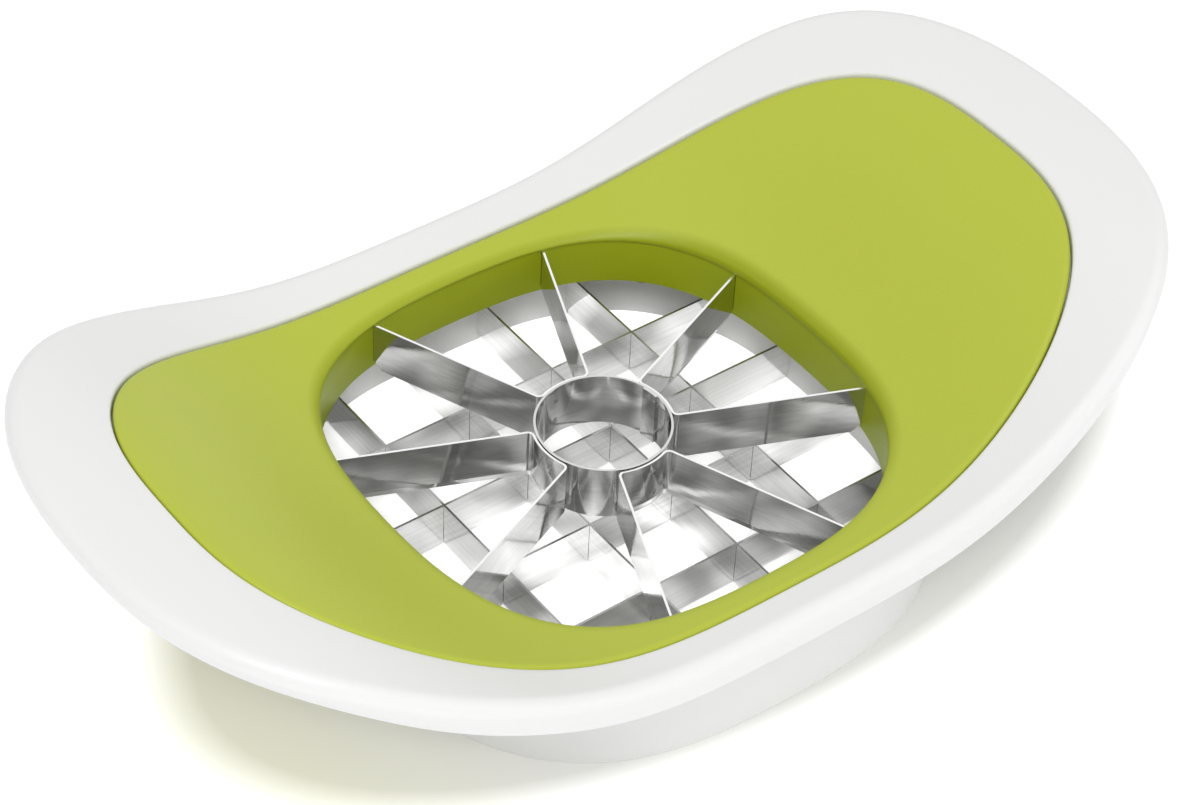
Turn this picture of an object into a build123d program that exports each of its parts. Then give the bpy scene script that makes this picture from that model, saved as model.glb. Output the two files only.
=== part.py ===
"""Apple slicer press: a saddle-shaped frame with a cutting grid, and a lift-out wedger.

Millimetres, +Z up. The origin is on the table, under the middle of the frame.
X runs along the press, towards its two raised ends.
"""

import os
from math import asin, cos, degrees, exp, pi, radians, sin, sqrt

from build123d import *

# ---------------------------------------------------------------- saddle surface
saddle_height = 17.2  # of the top surface over the table, at the middle
saddle_rise = 32.4  # from the middle to the raised ends
saddle_reach = 63.9  # distance from the middle at which most of the rise is done
saddle_power = 3.69  # how sharply it turns up
dish_radius = 181.6  # the dish across the middle
dish_reach = 61.0  # distance from the middle at which the dish has faded
dish_power = 5.47

# ---------------------------------------------------------------- frame
rim_half_length = 97.0
rim_length_power = 4.2
rim_width_power = 2.345
rim_end_width = 16.5  # of the rim around the cover, at the raised ends
rim_side_width = 7.9  # and at the middle of the long sides
rim_skirt_middle = 7.0  # height of the rim's side face at the middle
rim_skirt_end = 3.2  # and at the raised ends
skirt_reach = 85.2
skirt_power = 5.9
rim_skirt_wall = 2.4
frame_floor = 2.4  # under the cover
base_wall = 2.6
rim_edge_radius = 2.2  # the rounding around the rim
recess_edge_radius = 0.8  # and around the recess

# ---------------------------------------------------------------- wedger
cover_length_power = 2.74
cover_width_power = 2.81
cover_thickness = 2.4
cover_edge_radius = 1.2
lip_radius = 0.8  # around the opening
opening_radius = 44.5  # mean, of a circle swollen towards four rounded corners
corner_share = 0.0465  # the swelling, as a share of the mean radius
cover_side_width = 5.07  # of the cover beside the opening, at the middle of the long sides
lip_height = 0.99  # from the cover's top down to the blade collar, where that is least
collar_height = 8.9
collar_wall = 2.0
collar_skirt_wall = 1.6  # the cover's own skirt, around the collar
collar_room = 1.85  # from that skirt to the frame's well
boss_diameter = 4.2
boss_room = 0.4
ear_height = 2.9
screw_diameter = 2.2
screw_length = 7.5
screw_head_diameter = 3.9
screw_head_height = 1.4
screw_slot_width = 0.5
screw_slot_depth = 0.6

# ---------------------------------------------------------------- steel
steel = 0.4
core_outer_radius = 11.44
core_height = 10.2
core_proud = 0.25  # the core stands this far over the wedge strips
core_lap_angle = 16.0
strip_height = 9.5
strip_bend_radius = 1.0
leg_spread = 0.4  # of each blade, outwards from a line through the middle
strip_corner = 1.5  # cut off the lower outer corners
strip_grind = 1.2  # height of the ground band that sharpens the lower edge
wedges = 8
grid_pitch = 17.0
grid_count = 4  # blades each way
grid_ground_gap = 0.85
grid_grind = 1.0  # height of the ground band
edge_land = 0.1  # left of the steel's thickness at a ground edge
blade_seat = 1.2  # how deep blade ends go into plastic

# ---------------------------------------------------------------- clearances
cover_gap = 0.3  # between the wedger's cover and the frame, beside it and below it
nest_gap = 0.1  # between the cover's skirt and the blade collar
seam_gap = 0.05  # between pieces that are drawn together
weld_gap = 0.12  # between the core and the strips that are spot-welded to it
slot_gap = 0.05  # each side of steel in a slot
mould_gap = 0.02  # around steel that plastic is moulded on
grid_room = 1.45  # from the core down to the cutting grid


def saddle_z(x, y):
    """Height of the top surface, shared by the frame's rim and the cover."""
    rise = saddle_rise * (1 - exp(-((abs(x) / saddle_reach) ** saddle_power)))
    fade = exp(-((abs(x) / dish_reach) ** dish_power))
    return saddle_height + rise + y * y / (2 * dish_radius) * fade


def swollen_circle(mean_radius, count):
    """Points of a circle swollen towards four rounded corners."""
    points = []
    for step in range(count):
        angle = 2 * pi * step / count
        radius = mean_radius * (1 - corner_share * cos(4 * angle))
        points.append((radius * cos(angle), radius * sin(angle)))
    return points


# ---------------------------------------------------------------- worked out from the above
tall = saddle_height + saddle_rise + 20.0
cover_half_length = rim_half_length - rim_end_width
cover_half_width = opening_radius * (1 - corner_share) + cover_side_width
rim_half_width = cover_half_width + rim_side_width
parting_height = min(saddle_z(x, y) for x, y in swollen_circle(opening_radius, 72)) - lip_height
collar_outer = opening_radius + collar_wall
skirt_inner = collar_outer + nest_gap
skirt_outer = skirt_inner + collar_skirt_wall
well_radius = skirt_outer + collar_room
base_radius = well_radius + base_wall
collar_top = parting_height - seam_gap
collar_bottom = collar_top - collar_height
ear_top = collar_bottom + ear_height
boss_bottom = ear_top + seam_gap
boss_place = well_radius * (1 + corner_share) - boss_room - boss_diameter / 2
strip_top = collar_top
strip_bottom = strip_top - strip_height
core_top = strip_top + core_proud
grid_blade_height = core_top - core_height - grid_room - grid_ground_gap


def rim_skirt(x):
    """Height of the rim's side face, which thins towards the raised ends."""
    thinning = 1 - exp(-((abs(x) / skirt_reach) ** skirt_power))
    return rim_skirt_middle - (rim_skirt_middle - rim_skirt_end) * thinning


def constant_drop(depth):
    """A depth under the saddle that is the same all over."""
    return lambda x: depth


def saddle_face(drop):
    """The saddle surface, lowered by drop(x), reaching past the rim."""
    half_x, half_y = rim_half_length + 8.0, rim_half_width + 8.0
    columns, rows = 42, 16
    grid = []
    for row in range(rows + 1):
        y = half_y * (2 * row / rows - 1)
        xs = [half_x * (2 * column / columns - 1) for column in range(columns + 1)]
        grid.append([Vector(x, y, saddle_z(x, y) - drop(x)) for x in xs])
    return Face.make_surface_from_array_of_points(grid)


def oval(half_length, half_width, length_power, width_power):
    """A flat superellipse on the table."""
    points = []
    for step in range(72):
        angle = 2 * pi * step / 72
        along, across = abs(cos(angle)) / half_length, abs(sin(angle)) / half_width
        low, high = 0.0, half_length + half_width
        for _ in range(50):
            reach = (low + high) / 2
            outside = (reach * along) ** length_power + (reach * across) ** width_power > 1
            low, high = (low, reach) if outside else (reach, high)
        points.append((low * cos(angle), low * sin(angle)))
    with BuildSketch() as sketch:
        with BuildLine():
            Spline(points, periodic=True)
        make_face()
    return sketch.sketch


def rim_oval(inset):
    """The rim's outline, or a line inside it."""
    return oval(rim_half_length - inset, rim_half_width - inset, rim_length_power, rim_width_power)


def cover_oval(margin):
    """The cover's outline, or a line outside it."""
    length, width = cover_half_length + margin, cover_half_width + margin
    return oval(length, width, cover_length_power, cover_width_power)


def rounded_square(mean_radius, height=0.0):
    """The swollen circle's plan, at a height over the table."""
    with BuildSketch(Plane.XY.offset(height)) as sketch:
        with BuildLine():
            Spline(swollen_circle(mean_radius, 48), periodic=True)
        make_face()
    return sketch.sketch


def top_loop(edges, half_length):
    """The highest of the edges that run right round at a half length."""
    loops = edges.filter_by(lambda edge: abs(edge.bounding_box().size.X / 2 - half_length) < 0.05)
    return loops.sort_by(Axis.Z)[-1]


def side_lines(offset):
    """One side of a wedge strip, seen from above: leg, bend, arc on the core, bend, leg."""
    hug = core_outer_radius + weld_gap + steel / 2
    spread = 180.0 / wedges
    step = strip_bend_radius - leg_spread
    turn = degrees(asin(step / (hug + strip_bend_radius)))
    start = sqrt((hug + strip_bend_radius) ** 2 - step**2)
    for way in (1, -1):
        angle = radians(way * spread)
        leg, aside = Vector(cos(angle), sin(angle)), Vector(sin(angle), -cos(angle)) * way
        shift = aside * (-offset - leg_spread)
        Line(leg * start + shift, leg * (opening_radius + blade_seat) + shift)
        middle = leg * start + aside * step
        sweep_angle = 90.0 - turn
        first = way * (spread + 90.0)
        CenterArc(middle, strip_bend_radius + offset, first, way * sweep_angle)
    CenterArc((0, 0), hug - offset, turn - spread, 2 * (spread - turn))


# ---------------------------------------------------------------- frame shell
# One white moulding: the saddle with a recess for the cover, the well under it, and the
# base collar around the well, which stands on the table.
with BuildPart() as under_frame:
    extrude(rim_oval(rim_skirt_wall), amount=tall)
    pocket_roof = saddle_face(constant_drop(cover_thickness + cover_gap + frame_floor))
    extrude(pocket_roof, amount=2 * tall, dir=(0, 0, 1), mode=Mode.SUBTRACT)

with BuildPart() as cover_recess:
    extrude(cover_oval(cover_gap), amount=tall)
    recess_floor = saddle_face(constant_drop(cover_thickness + cover_gap))
    extrude(recess_floor, amount=2 * tall, dir=(0, 0, -1), mode=Mode.SUBTRACT)


def grid_strip(index, along_x, gap):
    """A grid blade's plan, reaching into the collar's wall, widened by a gap."""
    place = (index - (grid_count - 1) / 2) * grid_pitch
    size = (2 * base_radius, steel + 2 * gap) if along_x else (steel + 2 * gap, 2 * base_radius)
    with BuildSketch(Plane.XY.offset(grid_ground_gap - gap)) as plan:
        with Locations((0, place) if along_x else (place, 0)):
            Rectangle(*size)
        add(rounded_square(well_radius + blade_seat + gap, grid_ground_gap - gap), mode=Mode.INTERSECT)
    return plan.sketch


with BuildPart() as frame_shell:
    extrude(rim_oval(0.0), amount=tall)
    rim_underside = saddle_face(rim_skirt)
    extrude(rim_underside, amount=2 * tall, dir=(0, 0, -1), mode=Mode.SUBTRACT)
    add(under_frame.part, mode=Mode.SUBTRACT)
    extrude(rounded_square(base_radius), amount=tall)
    top_surface = saddle_face(constant_drop(0.0))
    extrude(top_surface, amount=2 * tall, dir=(0, 0, 1), mode=Mode.SUBTRACT)
    fillet(top_loop(frame_shell.edges(), rim_half_length), rim_edge_radius)
    add(cover_recess.part, mode=Mode.SUBTRACT)
    fillet(top_loop(frame_shell.edges(), cover_half_length + cover_gap), recess_edge_radius)
    extrude(rounded_square(well_radius), amount=tall, mode=Mode.SUBTRACT)
    for index in range(grid_count):
        for along_x in (True, False):
            slot = grid_strip(index, along_x, mould_gap)
            extrude(slot, amount=grid_blade_height + 2 * mould_gap, mode=Mode.SUBTRACT)

# ---------------------------------------------------------------- grid blades
# Two crossing sets, half-lapped: the set across the press is notched from above, the set
# along it from below. Their ends are moulded into the base collar.
grid_blades = {}
for along_x in (True, False):
    for index in range(grid_count):
        with BuildPart() as blade:
            extrude(grid_strip(index, along_x, 0.0), amount=grid_blade_height)
            underside = blade.faces().sort_by(Axis.Z)[0]
            edge = underside.edges().filter_by(GeomType.LINE).sort_by(Axis.Y if along_x else Axis.X)[0]
            chamfer(edge, steel - edge_land, grid_grind, reference=underside)
            middle = grid_ground_gap + grid_blade_height / 2
            notch_height = grid_blade_height / 2 + slot_gap
            centre = middle - notch_height / 2 + slot_gap
            if not along_x:
                centre = middle + notch_height / 2 - slot_gap
            for other in range(grid_count):
                place = (index - (grid_count - 1) / 2) * grid_pitch
                crossing = (other - (grid_count - 1) / 2) * grid_pitch
                at = (crossing, place, centre) if along_x else (place, crossing, centre)
                with Locations(at):
                    gap_width = steel + 2 * slot_gap
                    Box(gap_width, gap_width, notch_height, mode=Mode.SUBTRACT)
        grid_blades[f"grid_blade_{'x' if along_x else 'y'}{index + 1}"] = blade.part

# ---------------------------------------------------------------- wedger cover
# The green saddle that fills the frame's recess, with a skirt around the blade collar and
# four screw bosses.
with BuildPart() as wedger_cover:
    extrude(cover_oval(0.0), amount=tall)
    cover_underside = saddle_face(constant_drop(cover_thickness))
    extrude(cover_underside, amount=2 * tall, dir=(0, 0, -1), mode=Mode.SUBTRACT)
    extrude(rounded_square(skirt_outer, boss_bottom), amount=tall)
    extrude(rounded_square(skirt_inner), amount=parting_height, mode=Mode.SUBTRACT)
    with BuildSketch(Plane.XY.offset(boss_bottom)):
        with PolarLocations(boss_place, 4, start_angle=45):
            Circle(boss_diameter / 2)
    extrude(amount=tall)
    extrude(top_surface, amount=3 * tall, dir=(0, 0, 1), mode=Mode.SUBTRACT)
    fillet(top_loop(wedger_cover.edges(), cover_half_length), cover_edge_radius)
    extrude(rounded_square(opening_radius, parting_height), amount=tall, mode=Mode.SUBTRACT)
    fillet(top_loop(wedger_cover.edges(), opening_radius * (1 - corner_share)), lip_radius)
    screw_hole_depth = screw_length - ear_height
    with BuildSketch(Plane.XY.offset(boss_bottom)):
        with PolarLocations(boss_place, 4, start_angle=45):
            Circle(screw_diameter / 2 + mould_gap)
    extrude(amount=screw_hole_depth, mode=Mode.SUBTRACT)

# ---------------------------------------------------------------- blade collar
# The ring that carries the wedge strips in slots. They drop in from above, and the cover,
# screwed down over it, shuts them in.
with BuildPart() as blade_collar:
    extrude(rounded_square(collar_outer, collar_bottom), amount=collar_height)
    with BuildSketch(Plane.XY.offset(boss_bottom - seam_gap)):
        with PolarLocations(boss_place, 4, start_angle=45):
            Circle(boss_diameter / 2 + nest_gap)
    extrude(amount=tall, mode=Mode.SUBTRACT)
    with BuildSketch(Plane.XY.offset(collar_bottom)):
        with PolarLocations(boss_place, 4, start_angle=45):
            Circle(boss_diameter / 2)
    extrude(amount=ear_height)
    extrude(rounded_square(opening_radius, 0.0), amount=tall, mode=Mode.SUBTRACT)
    with BuildSketch(Plane.XY.offset(strip_bottom + strip_corner)):
        for way in (1, -1):
            with PolarLocations(opening_radius, wedges // 2, start_angle=way * 180.0 / wedges):
                with Locations((0, way * leg_spread)):
                    Rectangle(2 * (blade_seat + slot_gap), steel + 2 * slot_gap)
    extrude(amount=tall, mode=Mode.SUBTRACT)
    with BuildSketch(Plane.XY.offset(collar_bottom)):
        with PolarLocations(boss_place, 4, start_angle=45):
            Circle(screw_diameter / 2 + nest_gap)
    extrude(amount=ear_height, mode=Mode.SUBTRACT)

# ---------------------------------------------------------------- core ring
# A steel band rolled into a ring, its end lapped inside and spot-welded.
with BuildPart() as core_ring:
    with BuildSketch(Plane.XY.offset(core_top - core_height)):
        Circle(core_outer_radius)
        Circle(core_outer_radius - steel, mode=Mode.SUBTRACT)
        with BuildLine():
            lap_outer = CenterArc((0, 0), core_outer_radius - steel, 0, core_lap_angle)
            lap_inner = CenterArc((0, 0), core_outer_radius - 2 * steel, 0, core_lap_angle)
            Line(lap_outer @ 0, lap_inner @ 0)
            Line(lap_outer @ 1, lap_inner @ 1)
        make_face()
    extrude(amount=core_height)

# ---------------------------------------------------------------- wedge strips
# Four strips, each bent into two blades with an arc between them that hugs the core.
with BuildPart() as wedge_strip:
    with BuildSketch(Plane.XY.offset(strip_bottom)):
        with BuildLine():
            side_lines(steel / 2)
            side_lines(-steel / 2)
            for way in (1, -1):
                angle = radians(way * 180.0 / wedges)
                across = Vector(sin(angle), -cos(angle))
                end = Vector(cos(angle), sin(angle)) * (opening_radius + blade_seat)
                end -= across * way * leg_spread
                Line(end - across * (steel / 2), end + across * (steel / 2))
        make_face()
    extrude(amount=strip_height)
    with BuildLine(Plane.XY.offset(strip_bottom), mode=Mode.PRIVATE) as ground_side:
        side_lines(-steel / 2)
    underside = wedge_strip.faces().sort_by(Axis.Z)[0]
    ground = underside.edges().filter_by(lambda edge: ground_side.line.distance_to(edge @ 0.5) < edge_land)
    chamfer(ground, steel - edge_land, strip_grind, reference=underside)
    for way in (1, -1):
        angle = radians(way * 180.0 / wedges)
        leg_plane = Plane((0, 0, 0), x_dir=(cos(angle), sin(angle), 0), z_dir=(sin(angle), -cos(angle), 0))
        wall = opening_radius - nest_gap
        with BuildSketch(leg_plane):
            with BuildLine():
                Polyline(
                    (wall - strip_corner, strip_bottom),
                    (wall, strip_bottom + strip_corner),
                    (wall + 2 * blade_seat, strip_bottom + strip_corner),
                    (wall + 2 * blade_seat, strip_bottom),
                    close=True,
                )
            make_face()
        extrude(amount=leg_spread + steel, both=True, mode=Mode.SUBTRACT)

# ---------------------------------------------------------------- screws
# Self-tapping screws, driven from below through the collar's ears into the cover's bosses.
with BuildPart() as wedger_screws:
    with PolarLocations(boss_place, 4, start_angle=45):
        with Locations((0, 0, collar_bottom)):
            Cylinder(screw_diameter / 2, screw_length, align=(Align.CENTER, Align.CENTER, Align.MIN))
            Cylinder(
                screw_head_diameter / 2, screw_head_height, align=(Align.CENTER, Align.CENTER, Align.MAX)
            )
        with Locations((0, 0, collar_bottom - screw_head_height)):
            slot_length = screw_head_diameter * 0.6
            bottom = (Align.CENTER, Align.CENTER, Align.MIN)
            Box(slot_length, screw_slot_width, screw_slot_depth, align=bottom, mode=Mode.SUBTRACT)
            Box(screw_slot_width, slot_length, screw_slot_depth, align=bottom, mode=Mode.SUBTRACT)

# ---------------------------------------------------------------- write the pieces
pieces = {
    "frame_shell": frame_shell.part,
    **grid_blades,
    "wedger_cover": wedger_cover.part,
    "blade_collar": blade_collar.part,
    "core_ring": core_ring.part,
    "wedger_screws": wedger_screws.part,
}
for name, turn in {"right": 0, "back": 90, "left": 180, "front": 270}.items():
    pieces[f"wedge_strip_{name}"] = wedge_strip.part.rotate(Axis.Z, turn)

os.makedirs("parts", exist_ok=True)
for name, piece in pieces.items():
    piece.label = name
    export_step(piece, f"parts/{name}.step")
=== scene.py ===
import math

import bmesh
import bpy
import numpy as np
from mathutils import Matrix, Vector


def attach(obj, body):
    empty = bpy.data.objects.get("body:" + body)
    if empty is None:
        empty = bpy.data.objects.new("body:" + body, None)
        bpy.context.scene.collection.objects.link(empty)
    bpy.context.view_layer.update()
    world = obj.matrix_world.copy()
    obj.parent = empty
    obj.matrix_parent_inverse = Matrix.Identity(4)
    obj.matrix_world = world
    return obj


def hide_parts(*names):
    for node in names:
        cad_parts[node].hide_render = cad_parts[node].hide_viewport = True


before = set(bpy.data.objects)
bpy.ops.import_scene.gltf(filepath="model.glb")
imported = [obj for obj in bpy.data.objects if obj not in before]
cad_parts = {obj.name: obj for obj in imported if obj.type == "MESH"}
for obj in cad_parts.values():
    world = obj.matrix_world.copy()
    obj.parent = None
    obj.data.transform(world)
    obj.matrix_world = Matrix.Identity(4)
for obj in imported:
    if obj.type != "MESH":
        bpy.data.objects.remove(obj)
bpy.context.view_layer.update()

# ------------------------------------------------------------------ white frame
# One white moulding: a saddle-shaped rim around a shallow recess, and under it a well whose
# wall stands on the table as the base collar. All its edges are moulded round.
mm = 0.001  # sizes are in millimetres; materials, table, lamps and camera take metres
steps = 384  # points round each outline
turns = np.linspace(0.0, 2 * math.pi, steps, endpoint=False)

saddle_height, saddle_rise, saddle_reach, saddle_power = 17.2, 32.4, 63.9, 3.69
dish_radius, dish_reach, dish_power = 181.6, 61.0, 5.47
rim_half_length, rim_half_width, rim_length_power, rim_width_power = 97.0, 55.4, 4.2, 2.345
cover_half_length, cover_half_width, cover_length_power, cover_width_power = 80.5, 47.5, 2.74, 2.81
skirt_middle, skirt_end, skirt_reach, skirt_power = 7.0, 3.2, 85.2, 5.9
corner_share = 0.0465
opening_radius = 44.5
well_radius, base_radius = 50.05, 52.65
cover_gap, cover_thickness, frame_floor, skirt_wall = 0.3, 2.4, 2.4, 2.4
side_draft, pocket_draft = 0.3, 0.1
recess_round, rim_round_in, rim_round_down, rim_round_share = 0.5, 2.6, 3.0, 0.62
foot_round, neck_round = 0.35, 1.0
halvings = 50  # enough to find a point of an outline exactly
sharp_corner = 40  # in degrees; gentler turns are shaded smooth


def saddle_z(points):
    """Height of the saddle surface over the table, in millimetres, at rows of x, y."""
    x, y = np.abs(points[:, 0]), points[:, 1]
    rise = saddle_rise * (1 - np.exp(-((x / saddle_reach) ** saddle_power)))
    return saddle_height + rise + y * y / (2 * dish_radius) * np.exp(-((x / dish_reach) ** dish_power))


def side_height(points):
    """Height of the rim's side face, which thins towards the raised ends."""
    thinning = 1 - np.exp(-((np.abs(points[:, 0]) / skirt_reach) ** skirt_power))
    return skirt_middle - (skirt_middle - skirt_end) * thinning


def oval(half_length, half_width, length_power, width_power):
    """A superellipse as one point for each of the turns."""
    along, across = np.abs(np.cos(turns)) / half_length, np.abs(np.sin(turns)) / half_width
    low, high = np.zeros(steps), np.full(steps, half_length + half_width)
    for _ in range(halvings):
        reach = (low + high) / 2
        outside = (reach * along) ** length_power + (reach * across) ** width_power > 1
        low, high = np.where(outside, low, reach), np.where(outside, reach, high)
    return np.stack([low * np.cos(turns), low * np.sin(turns)], 1)


def rounded_square(mean_radius):
    """A circle swollen towards four corners."""
    radius = mean_radius * (1 - corner_share * np.cos(4 * turns))
    return np.stack([radius * np.cos(turns), radius * np.sin(turns)], 1)


def inset(outline, distance):
    """The outline moved inwards at right angles to itself; a minus distance moves it out."""
    along = np.roll(outline, -1, 0) - np.roll(outline, 1, 0)
    outward = np.stack([along[:, 1], -along[:, 0]], 1)
    return outline - outward / np.linalg.norm(outward, axis=1)[:, None] * distance


def between(first, last, count):
    """Outlines evenly spread between two, without those two."""
    return [first + (last - first) * (n / (count + 1)) for n in range(1, count + 1)]


def ring(outline, height):
    """An outline lifted to a height, which may differ from point to point."""
    return np.column_stack([outline, np.broadcast_to(height, len(outline))])


def under_saddle(outline, drop):
    """An outline laid on the saddle surface and lowered."""
    return ring(outline, saddle_z(outline) - drop)


def quarter(count):
    """(1 - sin, 1 - cos) along a quarter turn: what is left to go sideways, and the drop."""
    angles = [math.pi / 2 * n / count for n in range(count + 1)]
    return [(1 - math.sin(a), 1 - math.cos(a)) for a in angles]


def new_piece(name, mesh_data, body, material, stands_for=()):
    """Makes the object of a mesh in millimetres, smooth but for its sharp corners."""
    points, faces = mesh_data
    mesh = bpy.data.meshes.new(name)
    mesh.from_pydata([Vector(p) * mm for p in points], [], faces)
    work = bmesh.new()
    work.from_mesh(mesh)
    bmesh.ops.recalc_face_normals(work, faces=work.faces)
    work.to_mesh(mesh)
    work.free()
    mesh.polygons.foreach_set("use_smooth", [True] * len(mesh.polygons))
    mesh.set_sharp_from_angle(angle=math.radians(sharp_corner))
    mesh.materials.append(material)
    piece = bpy.data.objects.new(name, mesh)
    bpy.context.scene.collection.objects.link(piece)
    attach(piece, body)
    if stands_for:
        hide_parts(*stands_for)
    return piece


def loop_mesh(rings):
    """Joins rings, each to the next and the last to the first, into one closed skin."""
    size, count = len(rings[0]), len(rings)
    points = [tuple(p) for r in rings for p in r]
    faces = []
    for a in range(count):
        b = (a + 1) % count
        for n in range(size):
            m = (n + 1) % size
            faces.append((a * size + n, a * size + m, b * size + m, b * size + n))
    return points, faces


class Wire:
    """A shader socket that takes part in sums; each operator adds its Math node."""

    def __init__(self, tree, socket=None):
        self.tree, self.socket = tree, socket

    def node(self, kind, settings=None, inputs=None, out=0):
        """Adds a node: first its settings, then the values or links of its sockets."""
        made = self.tree.nodes.new("ShaderNode" + kind)
        for name, value in (settings or {}).items():
            setattr(made, name, value)
        for name, value in (inputs or {}).items():
            if isinstance(value, Wire):
                self.tree.links.new(value.socket, made.inputs[name])
            else:
                made.inputs[name].default_value = value
        return Wire(self.tree, made.outputs[out] if made.outputs else None)

    def math(self, operation, first, second):
        return self.node("Math", {"operation": operation}, {0: first, 1: second})

    def mix(self, first, second):
        """One colour turning into another as this value goes from 0 to 1."""
        return self.node("Mix", {"data_type": "RGBA"}, {0: self, 6: first, 7: second}, out=2)

    def __add__(self, other):
        return self.math("ADD", self, other)

    def __sub__(self, other):
        return self.math("SUBTRACT", self, other)

    def __rsub__(self, other):
        return self.math("SUBTRACT", other, self)

    def __mul__(self, other):
        return self.math("MULTIPLY", self, other)

    def __truediv__(self, other):
        return self.math("DIVIDE", self, other)

    def __rtruediv__(self, other):
        return self.math("DIVIDE", other, self)

    __radd__, __rmul__ = __add__, __mul__


def start_material(name):
    """A material with an empty node tree, and a first wire into it."""
    material = bpy.data.materials.new(name)
    material.use_nodes = True
    material.node_tree.nodes.clear()
    return material, Wire(material.node_tree)


def close_material(wire, shader):
    """Leads a shader to the material's output."""
    wire.node("OutputMaterial", inputs={"Surface": shader})


def moulded_plastic(
    name, colour, shade, roughness, grain, grain_height, gloss, edges=None, painted_shade_colour=None
):
    """Moulded plastic: a faint drift of shade, and the fine grain of the mould's surface.

    edges, where given, is a function that marks where a painted shade colour takes over.
    """
    material, wire = start_material(name)
    place = wire.node("TexCoord", out=3)
    drift = wire.node("TexNoise", inputs={"Vector": place, "Scale": 18.0, "Detail": 2.0})
    fine = wire.node(
        "TexNoise", inputs={"Vector": place, "Scale": grain, "Detail": 3.0, "Roughness": 0.6}
    )
    bump = wire.node("Bump", inputs={"Height": fine, "Strength": 1.0, "Distance": grain_height})
    base = (drift * 0.5 + fine * 0.5).mix(colour + (1.0,), shade + (1.0,))
    # where edges marks, a painted shade colour replaces the plastic's own
    if edges:
        base = edges(wire, place).mix(base, painted_shade_colour + (1.0,))
    shader = wire.node(
        "BsdfPrincipled",
        inputs={
            "Base Color": base,
            "Roughness": roughness + (fine - 0.5) * 0.12,
            "Normal": bump,
            "IOR": 1.49,
            "Specular IOR Level": gloss,
        },
    )
    close_material(wire, shader)
    return material


rim_line = oval(rim_half_length, rim_half_width, rim_length_power, rim_width_power)
cover_line = oval(cover_half_length, cover_half_width, cover_length_power, cover_width_power)
well_line, base_line = rounded_square(well_radius), rounded_square(base_radius)
recess_line = inset(cover_line, -cover_gap)
recess_depth = cover_thickness + cover_gap


def ceiling(line):
    """How far below the saddle the hollow under the rim and the recess begins."""
    return np.minimum(side_height(line), recess_depth + frame_floor)


# the recess, from the well out to its rounded edge
recess_floor = (well_line, *between(well_line, recess_line, 4), recess_line)
rings = [under_saddle(line, recess_depth) for line in recess_floor]
for sideways, down in quarter(5):
    rings.append(under_saddle(inset(recess_line, -recess_round * down), recess_round * sideways))
# the rim's top, its rounding and its side face
rim_inner, rim_outer = inset(recess_line, -recess_round), inset(rim_line, rim_round_in)
rings += [under_saddle(line, 0.0) for line in between(rim_inner, rim_outer, 10)]
rounding = np.minimum(rim_round_down, rim_round_share * side_height(rim_line))
for sideways, down in quarter(9):
    rings.append(under_saddle(inset(rim_line, rim_round_in * sideways), rounding * down))
skirt_foot = inset(rim_line, side_draft)
for sideways, down in quarter(3):
    drop = side_height(rim_line) - foot_round * sideways
    rings.append(under_saddle(inset(skirt_foot, foot_round * down), drop))
rings.append(under_saddle(inset(rim_line, skirt_wall), side_height(rim_line)))
# the hollow under the rim, in to the base collar
pocket_line, neck_line = inset(rim_line, skirt_wall + pocket_draft), inset(base_line, -neck_round)
for line in (pocket_line, *between(pocket_line, neck_line, 7)):
    rings.append(under_saddle(line, ceiling(line)))
for sideways, down in quarter(4):
    line = inset(base_line, -neck_round * sideways)
    rings.append(under_saddle(line, ceiling(line) + neck_round * down))
# the base collar's foot, and up again inside the well
for sideways, down in quarter(3):
    rings.append(ring(inset(base_line, foot_round * down), foot_round * sideways))
for sideways, down in quarter(3):
    rings.append(ring(inset(well_line, -foot_round * sideways), foot_round * down))

white = moulded_plastic(
    "white_plastic",
    colour=(0.86, 0.86, 0.855),
    shade=(0.84, 0.84, 0.835),
    roughness=0.36,
    grain=1400.0,
    grain_height=0.00001,
    gloss=0.4,
)
new_piece("white_frame", loop_mesh(rings), "frame", white, ["frame_shell"])

# ------------------------------------------------------------------ cutting grid
# Eight flat blades of rolled stainless strip, four each way, half-lapped at each crossing.
# Their ends are moulded into the base collar's wall. The CAD solids show, with broken edges.


def rolled_steel(name, stretch, tint, painted_top_reflection):
    """Stainless strip, a little wavy, with fine rolling lines along it and a sheared, rougher upper edge
    painted in a reflection colour.
    """
    material, wire = start_material(name)
    place = wire.node("TexCoord", out=3)
    laid = wire.node("Mapping", inputs={"Vector": place, "Scale": stretch})
    lines = wire.node(
        "TexNoise", inputs={"Vector": laid, "Scale": 0.35, "Detail": 4.0, "Roughness": 0.7}
    )
    cloud = wire.node("TexNoise", inputs={"Vector": place, "Scale": 130.0, "Detail": 2.0})
    waves = wire.node("TexNoise", inputs={"Vector": place, "Scale": 80.0, "Detail": 1.0})
    height = lines * 0.04 + waves
    bump = wire.node("Bump", inputs={"Height": height, "Strength": 1.0, "Distance": 0.00022})
    duller = tuple(0.90 * part for part in tint)
    streaks = wire.node("MapRange", inputs={"Value": lines, "From Min": 0.42, "From Max": 0.62})
    streaked = streaks.mix(tint + (1.0,), duller + (1.0,))
    facing = wire.node("SeparateXYZ", inputs={"Vector": wire.node("NewGeometry", out=1)}, out=2)
    # upward faces are rougher and take a set colour that is a painted reflection
    on_edge = wire.math("GREATER_THAN", facing, 0.7)
    shader = wire.node(
        "BsdfPrincipled",
        inputs={
            "Base Color": on_edge.mix(streaked, painted_top_reflection + (1.0,)),
            "Metallic": 1.0,
            "Roughness": 0.03 + lines * 0.05 + cloud * 0.04 + on_edge * 0.17,
            "Normal": bump,
        },
    )
    close_material(wire, shader)
    return material


edge_break = 0.05


def finished(name, material):
    """Gives a piece of the frame file its material."""
    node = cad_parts[name]
    node.data.materials.clear()
    node.data.materials.append(material)
    return node


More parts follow.
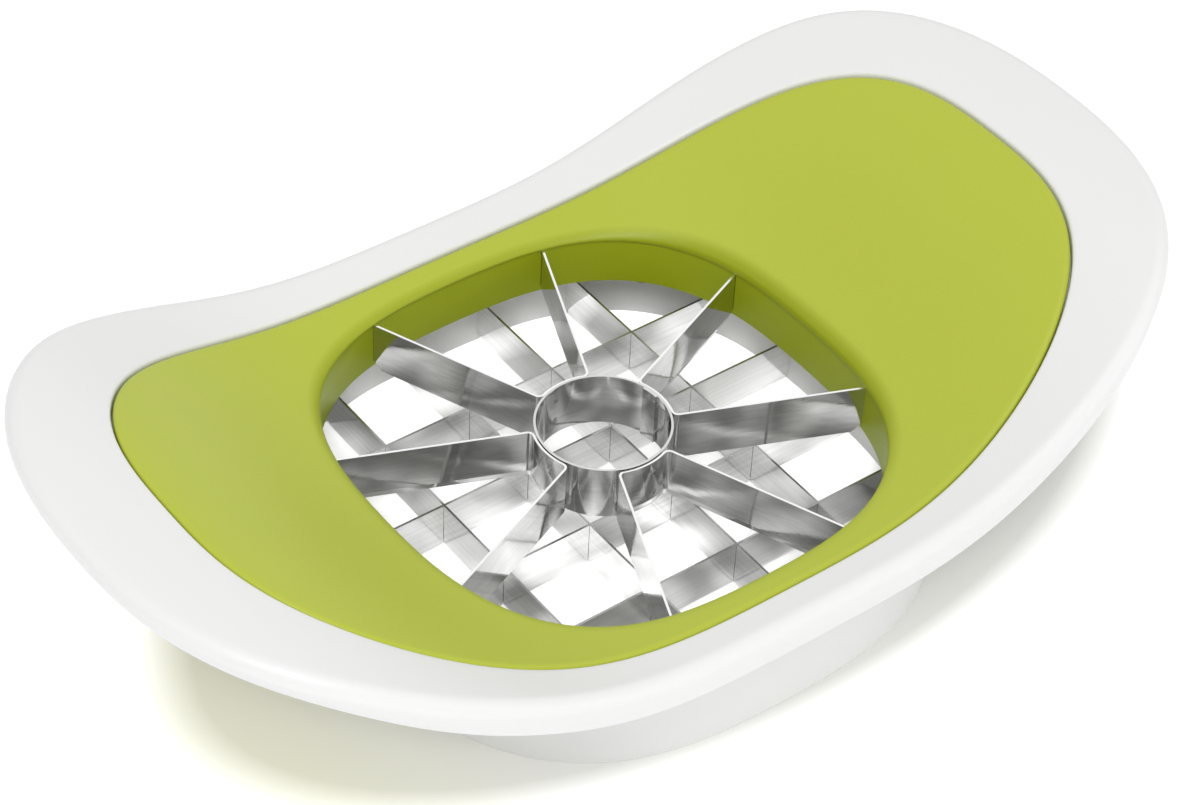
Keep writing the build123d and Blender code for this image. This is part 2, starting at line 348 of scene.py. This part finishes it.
def break_edges(node):
    """Takes the sharpness off a steel piece's edges."""
    bevel = node.modifiers.new("broken_edges", "BEVEL")
    bevel.width, bevel.segments, bevel.limit_method = edge_break * mm, 2, "ANGLE"


along, across = 90.0, 3800.0  # how closely the rolling lines lie, each way
# the grid blades' top faces are painted dark, a painted reflection
grid_tint, grid_top_painted_dark = (0.85, 0.85, 0.845), (0.42, 0.42, 0.41)
grid_steel = {
    "x": rolled_steel("grid_steel_along", (along, across, across), grid_tint, grid_top_painted_dark),
    "y": rolled_steel("grid_steel_across", (across, along, across), grid_tint, grid_top_painted_dark),
}
for way in ("x", "y"):
    for number in (1, 2, 3, 4):
        break_edges(finished(f"grid_blade_{way}{number}", grid_steel[way]))

# ------------------------------------------------------------------ wedger cover
# One green moulding, laid loose in the frame's recess. Its lip rolls over into the opening,
# its skirt surrounds the blade collar, and four bosses on the skirt take the screws.
parting_height, ear_top, seam_gap = 21.102, 15.052, 0.05
collar_wall, nest_gap, cover_skirt_wall = 2.0, 0.1, 1.6
lip_proud, lip_round, lip_share, seam_round = 0.25, 2.6, 0.8, 0.12
cover_round, cover_round_down, under_round = 1.3, 0.95, 0.4

lip_line = rounded_square(opening_radius - lip_proud)
skirt_inner_line = rounded_square(opening_radius + collar_wall + nest_gap)
skirt_outer_line = rounded_square(opening_radius + collar_wall + nest_gap + cover_skirt_wall)
boss_bottom = ear_top + seam_gap

# the lip, from the top over into the opening and down to the parting line
lip_start = inset(lip_line, -lip_round)
rings = [under_saddle(lip_start, 0.0)]
lip_drop = np.minimum(lip_round, lip_share * (saddle_z(lip_line) - parting_height - seam_round))
for sideways, down in quarter(7)[1:]:
    rings.append(under_saddle(inset(lip_line, -lip_round * sideways), lip_drop * down))
for sideways, down in quarter(2):
    rings.append(ring(inset(lip_line, -seam_round * down), parting_height + seam_round * sideways))
# the skirt around the blade collar
rings.append(ring(skirt_inner_line, parting_height))
for sideways, down in quarter(2):
    line = inset(skirt_inner_line, -under_round * down)
    rings.append(ring(line, boss_bottom + under_round * sideways))
for sideways, down in quarter(2):
    line = inset(skirt_outer_line, under_round * sideways)
    rings.append(ring(line, boss_bottom + under_round * down))
# the underside, the outer edge and the top
under_end = inset(cover_line, under_round)
underside = (skirt_outer_line, *between(skirt_outer_line, under_end, 12))
rings += [under_saddle(line, cover_thickness) for line in underside]
for sideways, down in quarter(3):
    drop = cover_thickness - under_round * down
    rings.append(under_saddle(inset(cover_line, under_round * sideways), drop))
for sideways, down in quarter(6):
    rings.append(under_saddle(inset(cover_line, cover_round * down), cover_round_down * sideways))
rings += [under_saddle(line, 0.0) for line in between(inset(cover_line, cover_round), lip_start, 34)]


def evened_radius(wire, place):
    """Distance from the upright middle line, with the swelling towards the corners taken out."""
    flat = wire.node("VectorMath", {"operation": "MULTIPLY"}, {0: place, 1: (1.0, 1.0, 0.0)})
    from_middle = wire.node("VectorMath", {"operation": "LENGTH"}, {0: flat}, out=1)
    x = wire.node("SeparateXYZ", inputs={"Vector": flat})
    y = wire.node("SeparateXYZ", inputs={"Vector": flat}, out=1)
    corners = x * x * y * y * 8.0 / (from_middle * from_middle * from_middle * from_middle)
    return from_middle / (1 - corner_share * (1 - corners))


def painted_lip_and_edge_shade(wire, place):
    """Painted shade: 1 on the steep edges and on the far half of the rolled lip, which are painted a
    darker green to stand for the shade there.
    """
    far_way = (0.62, 0.78, 0.0)
    far_side = wire.node("VectorMath", {"operation": "DOT_PRODUCT"}, {0: place, 1: far_way}, out=1)
    far_half = wire.node("MapRange", inputs={"Value": far_side, "From Min": -0.015, "From Max": 0.005})
    from_middle = evened_radius(wire, place)
    lip = wire.node("MapRange", inputs={"Value": from_middle, "From Min": 0.0463, "From Max": 0.0450})
    upright = wire.node("SeparateXYZ", inputs={"Vector": wire.node("NewGeometry", out=1)}, out=2)
    steep = wire.node("MapRange", inputs={"Value": upright, "From Min": 0.75, "From Max": 0.35})
    return wire.math("MAXIMUM", lip * far_half * 0.8, steep)


# the lip's far half and the steep edges take a darker green that is painted shade
green = moulded_plastic(
    "green_plastic",
    colour=(0.500, 0.568, 0.052),
    shade=(0.435, 0.495, 0.035),
    roughness=0.46,
    grain=2600.0,
    grain_height=0.00003,
    gloss=0.5,
    edges=painted_lip_and_edge_shade,
    painted_shade_colour=(0.345, 0.405, 0.004),
)
new_piece("green_cover", loop_mesh(rings), "wedger", green, ["wedger_cover"])


def gathered(skins):
    """Several closed skins as one mesh."""
    points, faces = [], []
    for more_points, more_faces in skins:
        faces += [tuple(len(points) + n for n in face) for face in more_faces]
        points += more_points
    return points, faces


boss_radius, boss_place, boss_top, boss_edge, screw_hole = 2.1, 49.88, 21.6, 0.15, 1.12
circle = np.stack([np.cos(turns[::8]), np.sin(turns[::8])], 1)
boss_profile = [
    (boss_radius - boss_edge, boss_bottom),
    (boss_radius, boss_bottom + boss_edge),
    (boss_radius, boss_top),
    (screw_hole, boss_top),
    (screw_hole, boss_bottom),
]
bosses = []
for corner in range(4):
    angle = math.radians(45 + 90 * corner)
    middle = np.array([math.cos(angle), math.sin(angle)]) * boss_place
    bosses.append(loop_mesh([ring(middle + circle * radius, height) for radius, height in boss_profile]))
new_piece("screw_bosses", gathered(bosses), "wedger", green)

# ------------------------------------------------------------------ blade collar
# A green moulded ring that carries the steel. The screws draw it up against the cover at a
# fine parting line, and eight slots in it hold the blades' ends.
green_collar = moulded_plastic(
    "green_collar",
    colour=(0.400, 0.475, 0.005),
    shade=(0.385, 0.455, 0.004),
    roughness=0.45,
    grain=2600.0,
    grain_height=0.00003,
    gloss=0.4,
)
finished("blade_collar", green_collar)

# ------------------------------------------------------------------ wedge strips and core
# Stainless strip: a band rolled into the core ring, and four strips bent into two blades
# each, whose arcs are spot-welded to the band.
strip_stretch, strip_tint = (500.0, 500.0, 3800.0), (0.68, 0.68, 0.675)
# the core's and strips' top faces are painted lighter, a painted reflection
core_top_painted_light, strip_top_painted_bright = (0.72, 0.72, 0.715), (0.95, 0.95, 0.945)
core_steel = rolled_steel("core_steel", strip_stretch, strip_tint, core_top_painted_light)
strip_steel = rolled_steel("strip_steel", strip_stretch, strip_tint, strip_top_painted_bright)
break_edges(finished("core_ring", core_steel))
for side in ("right", "back", "left", "front"):
    break_edges(finished("wedge_strip_" + side, strip_steel))

weld_radius, weld_proud, weld_sunk, weld_rise, weld_angle = 0.55, 0.04, 0.03, 2.1, 8.0
weld_profile = [(1.0, -weld_sunk), (0.85, weld_proud), (0.5, 0.3 * weld_proud)]
core_inner, arc_outer, strip_middle = 11.04, 11.96, 16.3
weld_circle = circle[::2]


def spot_weld(angle, radius, way, height):
    """The dimpled disc that a weld leaves on a band, on its inner side or its outer side."""
    out = np.array([math.cos(angle), math.sin(angle)])
    aside = np.array([-math.sin(angle), math.cos(angle)])
    size = len(weld_circle)
    points = []
    for share, proud in weld_profile:
        for u, v in weld_circle * weld_radius * share:
            flat = out * (radius + way * proud) + aside * u
            points.append((flat[0], flat[1], height + v))
    faces = [tuple(reversed(range(size))), tuple(range(2 * size, 3 * size))]
    for low in (0, size):
        for n in range(size):
            m = (n + 1) % size
            faces.append((low + n, low + m, low + size + m, low + size + n))
    return points, faces


welds = []
for side in range(4):
    angle = math.radians(90 * side + weld_angle)
    for height in (strip_middle - weld_rise, strip_middle + weld_rise):
        welds.append(spot_weld(angle, core_inner, -1.0, height))
        welds.append(spot_weld(angle, arc_outer, 1.0, height))
even_stretch, weld_tint = (900.0, 900.0, 900.0), (0.48, 0.48, 0.48)
weld_steel = rolled_steel("weld_steel", even_stretch, weld_tint, weld_tint)
new_piece("spot_welds", gathered(welds), "wedger", weld_steel)

# ------------------------------------------------------------------ screws
# Four small self-tapping screws of plated steel. They are driven from below, through the
# blade collar's ears and into the cover's bosses.
screw_tint = (0.62, 0.62, 0.63)
finished("wedger_screws", rolled_steel("screw_steel", even_stretch, screw_tint, screw_tint))

# ------------------------------------------------------------------ table
# A plain white table, a hair under the press's foot. It shows white where it is lit, keeps
# the soft shadow, and is seen again in the steel.
table_reach, table_drop = 3.0, 0.05 * mm
corners = [(x * table_reach, y * table_reach, 0.0) for x, y in ((-1, -1), (1, -1), (1, 1), (-1, 1))]
floor_mesh = bpy.data.meshes.new("table_top")
floor_mesh.from_pydata(corners, [], [(0, 1, 2, 3)])
floor = bpy.data.objects.new("table_top", floor_mesh)
bpy.context.scene.collection.objects.link(floor)
floor.location.z = -table_drop

floor_material, wire = start_material("table_white")
place = wire.node("TexCoord", out=3)
by_eye, mirrored = wire.node("LightPath"), wire.node("LightPath", out=3)
seen = by_eye + mirrored
# inside the well the table has patches of shade, which show in the steel alone
wall_middle, wall_inside = 0.0517, 0.0510
from_middle = evened_radius(wire, place)
in_well = wire.node(
    "MapRange", inputs={"Value": from_middle, "From Min": wall_middle, "From Max": wall_inside}
)
moved = wire.node("Mapping", inputs={"Vector": place, "Location": (0.62, 0.13, 0.0)})
drift = wire.node("TexNoise", inputs={"Vector": moved, "Scale": 70.0, "Detail": 1.0})
shaded = wire.node("MapRange", inputs={"Value": drift, "From Min": 0.42, "From Max": 0.58})
# beneath the rim, the less of the sky the table sees, the deeper its shade
shade_middle, shade_reach = (0.010, -0.004, 0.0), (0.103, 0.0554, 1.0)
shifted = wire.node("VectorMath", {"operation": "SUBTRACT"}, {0: place, 1: shade_middle})
evened = wire.node("VectorMath", {"operation": "DIVIDE"}, {0: shifted, 1: shade_reach})
reach_share = wire.node("VectorMath", {"operation": "LENGTH"}, {0: evened}, out=1)
beneath = wire.node("MapRange", inputs={"Value": reach_share, "From Min": 0.99, "From Max": 0.84})
hidden = wire.node("AmbientOcclusion", {"samples": 16}, {"Distance": 0.08}, out=1)
open_sky = 1 - beneath * wire.math("MINIMUM", 1 - hidden, 0.5)
outside = open_sky * (1 - in_well)
far_away = wire.node("MapRange", inputs={"Value": from_middle, "From Min": 0.25, "From Max": 0.70})
# how much light the table sends back, first to the press and then to the eye and the steel
plain = 0.46 + in_well * 0.14
shown = outside * 0.62 + in_well * (0.75 - mirrored * (0.07 + shaded * 0.22))
# the shade is warmer at the left end
sideways = wire.node("SeparateXYZ", inputs={"Vector": place})
left_part = wire.node("MapRange", inputs={"Value": sideways, "From Min": -0.04, "From Max": -0.07})
shade = 1 - wire.math("MAXIMUM", open_sky, in_well)
neutral, warm = (1.0, 1.0, 1.0, 1.0), (0.97, 0.95, 0.58, 1.0)
warm_shade = (shade * (0.25 + left_part * 0.75)).mix(neutral, warm)
sent_back = plain + seen * (shown - plain)
whiteness = wire.node("VectorMath", {"operation": "SCALE"}, {0: warm_shade, "Scale": sent_back})
well_glow = by_eye * 0.35 + mirrored * (0.04 + (1 - shaded) * 0.22)
glow = seen * outside * 0.30 + by_eye * far_away * 0.45 + in_well * well_glow
lit = wire.node("BsdfDiffuse", inputs={"Color": whiteness})
shine = wire.node("Emission", inputs={"Color": warm_shade, "Strength": glow})
close_material(wire, wire.node("AddShader", inputs={0: lit, 1: shine}))
floor_mesh.materials.append(floor_material)

# ------------------------------------------------------------------ studio light
# An even white sky, which the steel sees brighter on one side, a soft lamp at the front left,
# a weak one low at the right, and one that lights the table alone.
world = bpy.data.worlds.new("studio")
bpy.context.scene.world = world
world.use_nodes = True
world.node_tree.nodes.clear()
wire = Wire(world.node_tree)
seen, mirrored = wire.node("LightPath"), wire.node("LightPath", out=3)
bright_side = (0.40, 0.50, 0.77)
looking = wire.node("TexCoord")
towards = wire.node("VectorMath", {"operation": "DOT_PRODUCT"}, {0: looking, 1: bright_side}, out=1)
screen = wire.node("MapRange", inputs={"Value": towards, "From Min": 0.05, "From Max": 0.55})
brightness = 0.58 + seen * 0.42 + mirrored * (screen * 0.75 - 0.33)
sky = wire.node("Background", inputs={"Color": neutral, "Strength": brightness})
wire.node("OutputWorld", inputs={"Surface": sky})


def softbox(name, place, aim, size, watts):
    """A square lamp, turned to its aim."""
    lamp = bpy.data.lights.new(name, "AREA")
    lamp.size, lamp.energy = size, watts
    box = bpy.data.objects.new(name, lamp)
    bpy.context.scene.collection.objects.link(box)
    box.location = Vector(place)
    box.rotation_mode = "QUATERNION"
    box.rotation_quaternion = (Vector(aim) - Vector(place)).to_track_quat("-Z", "Y")
    return box


press_middle = (0.0, 0.0, 0.02)
softbox("key_light", (-0.36, -0.38, 1.00), press_middle, size=0.45, watts=5.6)
softbox("side_light", (0.55, -0.65, 0.18), press_middle, size=0.4, watts=1.0)
table_light = softbox("table_light", (-0.55, -0.69, 0.81), (0.0, 0.0, 0.0), size=0.35, watts=21.0)
table_only = bpy.data.collections.new("table_only")
table_only.objects.link(floor)
table_light.light_linking.receiver_collection = table_only

# ------------------------------------------------------------------ camera
# A long lens from the front left and well above, turned a little about its own axis.
azimuth, elevation, roll = np.radians([-38.54, 42.586, 2.967]).tolist()
target, distance = Vector((10.25, 14.06, 9.62)) * mm, 551.7
level = math.cos(elevation)
back = Vector((math.sin(azimuth) * level, -math.cos(azimuth) * level, math.sin(elevation)))
right = (-back).cross(Vector((0, 0, 1))).normalized()
up = right.cross(-back)
right, up = right * math.cos(roll) + up * math.sin(roll), up * math.cos(roll) - right * math.sin(roll)
camera_data = bpy.data.cameras.new("camera")
camera_data.lens, camera_data.sensor_width, camera_data.sensor_fit = 97.99, 36.0, "HORIZONTAL"
camera_data.clip_start, camera_data.clip_end = 0.05, 20.0
camera = bpy.data.objects.new("camera", camera_data)
bpy.context.scene.collection.objects.link(camera)
turned = Matrix((right, up, back)).transposed().to_4x4()
camera.matrix_world = Matrix.Translation(target + back * distance * mm) @ turned
bpy.context.scene.camera = camera
bpy.context.scene.view_settings.view_transform = "Standard"
